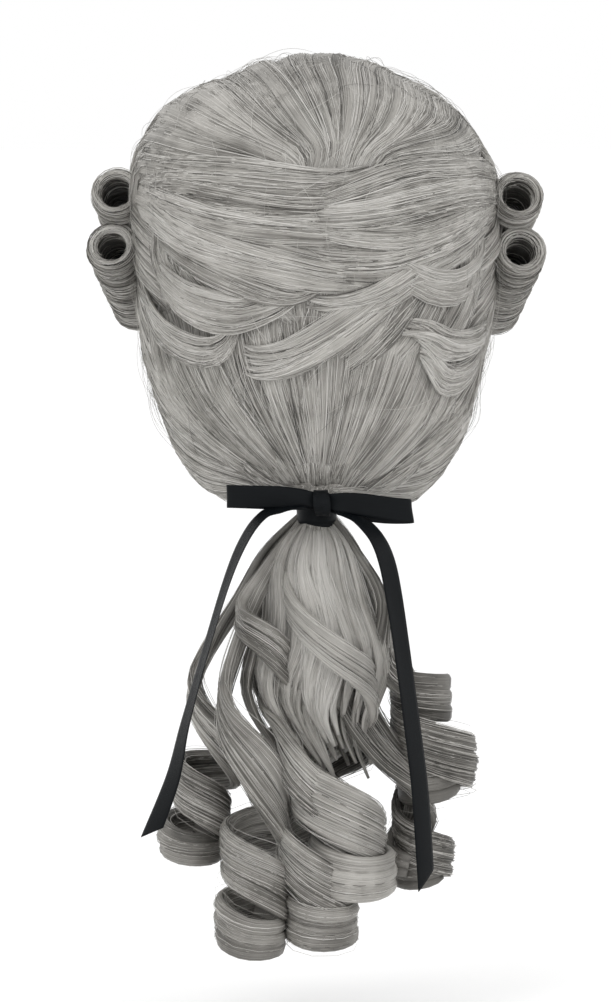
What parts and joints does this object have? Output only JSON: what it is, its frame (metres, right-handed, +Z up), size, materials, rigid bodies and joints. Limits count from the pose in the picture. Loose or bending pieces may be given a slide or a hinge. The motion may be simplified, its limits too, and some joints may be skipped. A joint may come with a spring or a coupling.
{
  "type": "costume wig",
  "caption": "Powdered-style costume wig: stretch cap, swept-back grey hair, barrel rolls over the ears, and a curled ponytail tied with a satin ribbon bow.",
  "frame": {"origin": "centre of the head that the cap fits, at the level where a hat sits", "axes": "+Z up the head, -Y the way the wearer faces, +X to the wearer's left"},
  "size_m": [0.2548, 0.2243, 0.503],
  "materials": {
    "hair": "fine synthetic fibre, soft sheen",
    "net": "open stretch net",
    "band": "soft woven band",
    "lace": "narrow lace strap",
    "weft_stitching": "machine-stitched weft track",
    "elastic": "ribbed elastic",
    "hair_elastic": "matte",
    "hook": "moulded",
    "label": "plain woven tape",
    "steel": "flat spring steel",
    "pins": "dull lacquered wire",
    "ribbon": "satin"
  },
  "bodies": {
    "cap": {"cap_net": "net", "front_band": "band", "nape_band": "band", "cap_ribs": "lace", "weft_tracks": "weft_stitching", "care_label": "label", "loop_tape_left": "elastic", "loop_tape_right": "elastic", "strap_sleeve_left": "elastic", "strap_sleeve_right": "elastic", "roll_pins_left": "pins", "roll_pins_right": "pins", "crown_hair": "hair", "side_hair_left": "hair", "side_hair_right": "hair", "swept_hair_left": "hair", "swept_hair_right": "hair", "back_hair": "hair", "nape_gather": "hair", "roll_upper_left": "hair", "roll_lower_left": "hair", "roll_upper_right": "hair", "roll_lower_right": "hair"},
    "tie": {"ponytail_stem": "hair", "ponytail_elastic": "hair_elastic", "ribbon_wrap": "ribbon", "ribbon_knot": "ribbon", "bow_loop_left": "ribbon", "bow_loop_right": "ribbon"},
    "ponytail": {"ponytail_root": "hair", "curl_front_left": "hair", "curl_front_centre": "hair", "curl_front_right": "hair", "curl_outer_left": "hair", "curl_back_left": "hair", "curl_back_right": "hair", "curl_outer_right": "hair", "curl_lower_right": "hair"},
    "tail_left": {"ribbon_tail_left": "ribbon"},
    "tail_right": {"ribbon_tail_right": "ribbon"},
    "adjuster_left": {"adjuster_hook_left": "hook", "adjuster_strap_left": "elastic"},
    "adjuster_right": {"adjuster_hook_right": "hook", "adjuster_strap_right": "elastic"},
    "ear_tab_left": {"ear_tab_left": "band", "ear_stay_left": "steel"},
    "ear_tab_right": {"ear_tab_right": "band", "ear_stay_right": "steel"}
  },
  "joints": [
    {"name": "ponytail_lift", "type": "hinge", "parent": "cap", "child": "tie", "pos_m": [0, 0.078, -0.118], "axis": [1, 0, 0], "range_deg": [-20, 30]},
    {"name": "ponytail_swing", "type": "hinge", "parent": "tie", "child": "ponytail", "pos_m": [0, 0.078, -0.118], "axis": [0, 1, 0], "range_deg": [-20, 20]},
    {"name": "ribbon_tail_left_swing", "type": "hinge", "parent": "tie", "child": "tail_left", "pos_m": [0.03, 0.105, -0.1225], "axis": [0, 1, 0], "range_deg": [-15, 30]},
    {"name": "ribbon_tail_right_swing", "type": "hinge", "parent": "tie", "child": "tail_right", "pos_m": [-0.033, 0.105, -0.1285], "axis": [0, 1, 0], "range_deg": [-25, 25]},
    {"name": "adjuster_left_tighten", "type": "hinge", "parent": "cap", "child": "adjuster_left", "pos_m": [-0.01383, 0.00876, -0.02105], "axis": [0, 0.5592, 0.829], "range_deg": [0, 8]},
    {"name": "adjuster_right_tighten", "type": "hinge", "parent": "cap", "child": "adjuster_right", "pos_m": [0.01383, 0.00876, -0.02105], "axis": [0, -0.5592, -0.829], "range_deg": [0, 8]},
    {"name": "ear_tab_left_fold", "type": "hinge", "parent": "cap", "child": "ear_tab_left", "pos_m": [0.07296, -0.03065, -0.00642], "axis": [0.192, 0.8136, -0.5488], "range_deg": [-3, 35]},
    {"name": "ear_tab_right_fold", "type": "hinge", "parent": "cap", "child": "ear_tab_right", "pos_m": [-0.07296, -0.03065, -0.00642], "axis": [0.192, -0.8136, 0.5488], "range_deg": [-3, 35]}
  ]
}
